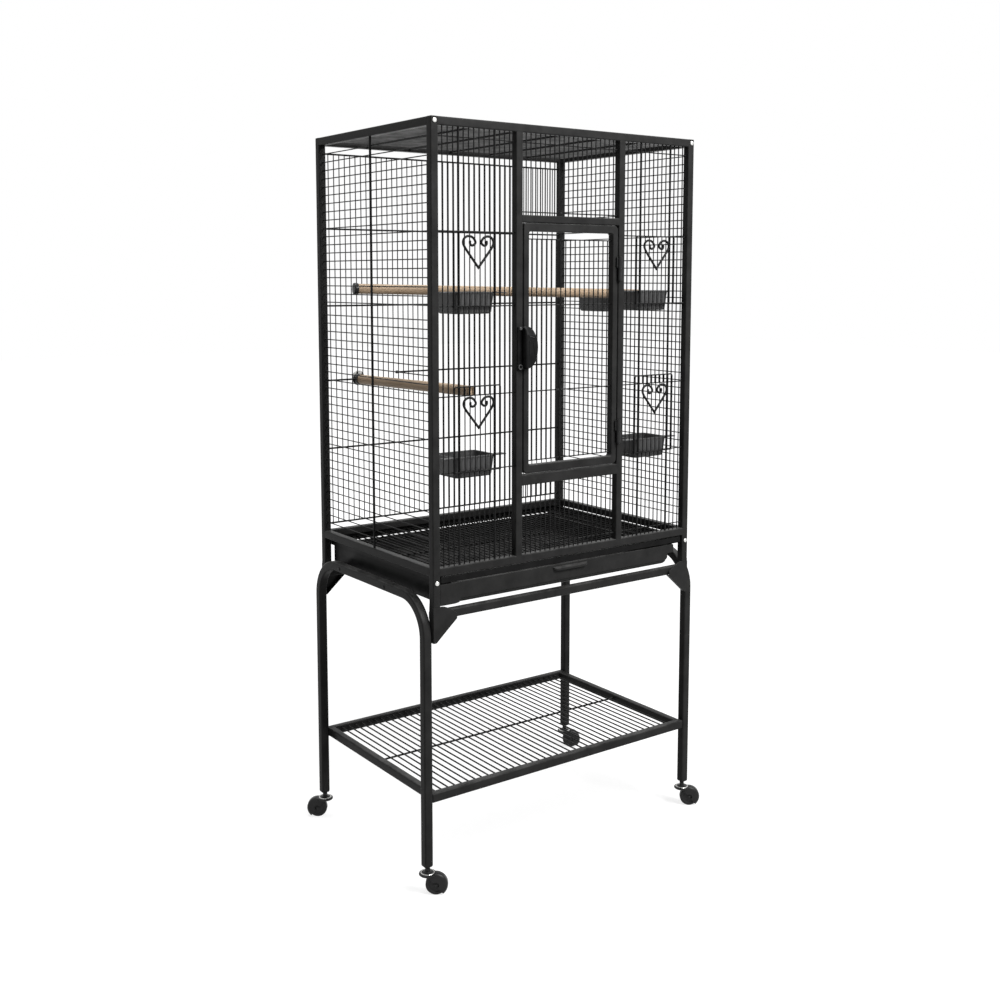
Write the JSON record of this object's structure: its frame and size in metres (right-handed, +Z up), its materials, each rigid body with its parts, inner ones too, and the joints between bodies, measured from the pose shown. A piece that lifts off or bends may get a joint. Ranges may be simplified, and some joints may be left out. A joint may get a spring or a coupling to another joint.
{
  "type": "bird cage with stand",
  "caption": "Tall wire bird cage on a wheeled stand with a hinged door, sliding feeder doors with cups, perches, a pull-out tray under a grate, and a wire shelf.",
  "frame": {"origin": "on the floor under the middle of the cage", "axes": "+X to the right as seen from the door, +Y from the door to the rear, +Z up"},
  "size_m": [0.706, 0.4526, 1.38],
  "materials": {
    "powder_coat": "satin charcoal powder coat on steel tube, wire and sheet",
    "cup_plastic": "dark grey moulded plastic",
    "black_plastic": "black moulded plastic",
    "perch_wood": "smooth tan dowel",
    "zinc": "bright zinc-plated screw heads"
  },
  "bodies": {
    "frame": {"left_side_panel": "powder_coat", "right_side_panel": "powder_coat", "front_frame": "powder_coat", "front_wires_left": "powder_coat", "front_wires_right": "powder_coat", "front_wires_over_door": "powder_coat", "front_wires_under_door": "powder_coat", "rear_panel": "powder_coat", "roof_panel": "powder_coat", "lower_hinge_knuckle": "black_plastic", "upper_hinge_knuckle": "black_plastic", "latch_base": "black_plastic", "lower_cup_left": "cup_plastic", "lower_cup_right": "cup_plastic", "upper_cup_left": "cup_plastic", "upper_cup_right": "cup_plastic", "side_cup": "cup_plastic", "upper_perch": "perch_wood", "upper_perch_cap": "black_plastic", "lower_perch": "perch_wood", "lower_perch_cap": "black_plastic", "left_runner": "powder_coat", "right_runner": "powder_coat", "left_leg_frame": "powder_coat", "right_leg_frame": "powder_coat", "front_bar": "powder_coat", "rear_bar": "powder_coat", "front_bracket_left": "powder_coat", "front_bracket_right": "powder_coat", "rear_bracket_left": "powder_coat", "rear_bracket_right": "powder_coat", "shelf": "powder_coat", "top_screw_left": "zinc", "bottom_screw_left": "zinc", "top_screw_right": "zinc", "bottom_screw_right": "zinc"},
    "door": {"door": "powder_coat", "upper_hinge_sleeve": "black_plastic", "lower_hinge_sleeve": "black_plastic"},
    "latch_lever": {"latch_lever": "black_plastic"},
    "lower_feeder_door_left": {"lower_feeder_door_left": "powder_coat"},
    "lower_feeder_door_right": {"lower_feeder_door_right": "powder_coat"},
    "upper_feeder_door_left": {"upper_feeder_door_left": "powder_coat"},
    "upper_feeder_door_right": {"upper_feeder_door_right": "powder_coat"},
    "tray": {"tray": "powder_coat", "tray_left_hem": "powder_coat", "tray_right_hem": "powder_coat", "tray_front": "powder_coat"},
    "grate": {"grate": "powder_coat"},
    "front_left_fork": {"front_left_fork": "black_plastic"},
    "front_left_wheel": {"front_left_wheel": "black_plastic"},
    "front_right_fork": {"front_right_fork": "black_plastic"},
    "front_right_wheel": {"front_right_wheel": "black_plastic"},
    "rear_left_fork": {"rear_left_fork": "black_plastic"},
    "rear_left_wheel": {"rear_left_wheel": "black_plastic"},
    "rear_right_fork": {"rear_right_fork": "black_plastic"},
    "rear_right_wheel": {"rear_right_wheel": "black_plastic"}
  },
  "joints": [
    {"name": "door_hinge", "type": "hinge", "parent": "frame", "child": "door", "pos_m": [0.1135, -0.2148, 0.98], "axis": [0, 0, 1], "range_deg": [0, 120]},
    {"name": "latch_turn", "type": "hinge", "parent": "door", "child": "latch_lever", "pos_m": [-0.1015, -0.2151, 0.982], "axis": [0, 1, 0], "range_deg": [0, 180]},
    {"name": "lower_feeder_left_slide", "type": "slide", "parent": "frame", "child": "lower_feeder_door_left", "axis": [0, 0, 1], "range_m": [0, 0.12]},
    {"name": "lower_feeder_right_slide", "type": "slide", "parent": "frame", "child": "lower_feeder_door_right", "axis": [0, 0, 1], "range_m": [0, 0.12]},
    {"name": "upper_feeder_left_slide", "type": "slide", "parent": "frame", "child": "upper_feeder_door_left", "axis": [0, 0, 1], "range_m": [0, 0.12]},
    {"name": "upper_feeder_right_slide", "type": "slide", "parent": "frame", "child": "upper_feeder_door_right", "axis": [0, 0, 1], "range_m": [0, 0.12]},
    {"name": "tray_slide", "type": "slide", "parent": "frame", "child": "tray", "axis": [0, -1, 0], "range_m": [0, 0.3]},
    {"name": "grate_slide", "type": "slide", "parent": "frame", "child": "grate", "axis": [0, -1, 0], "range_m": [0, 0.3]},
    {"name": "front_left_swivel", "type": "hinge", "parent": "frame", "child": "front_left_fork", "pos_m": [-0.3178, -0.197, 0.045], "axis": [0, 0, 1], "continuous": true},
    {"name": "front_left_roll", "type": "hinge", "parent": "front_left_fork", "child": "front_left_wheel", "pos_m": [-0.30567, -0.20582, 0.019], "axis": [0.5878, 0.809, 0], "continuous": true},
    {"name": "front_right_swivel", "type": "hinge", "parent": "frame", "child": "front_right_fork", "pos_m": [0.3178, -0.197, 0.045], "axis": [0, 0, 1], "continuous": true},
    {"name": "front_right_roll", "type": "hinge", "parent": "front_right_fork", "child": "front_right_wheel", "pos_m": [0.32993, -0.20582, 0.019], "axis": [0.5878, 0.809, 0], "continuous": true},
    {"name": "rear_left_swivel", "type": "hinge", "parent": "frame", "child": "rear_left_fork", "pos_m": [-0.3178, 0.197, 0.045], "axis": [0, 0, 1], "continuous": true},
    {"name": "rear_left_roll", "type": "hinge", "parent": "rear_left_fork", "child": "rear_left_wheel", "pos_m": [-0.32993, 0.20582, 0.019], "axis": [-0.5878, -0.809, 0], "continuous": true},
    {"name": "rear_right_swivel", "type": "hinge", "parent": "frame", "child": "rear_right_fork", "pos_m": [0.3178, 0.197, 0.045], "axis": [0, 0, 1], "continuous": true},
    {"name": "rear_right_roll", "type": "hinge", "parent": "rear_right_fork", "child": "rear_right_wheel", "pos_m": [0.32993, 0.18818, 0.019], "axis": [0.5878, 0.809, 0], "continuous": true}
  ]
}
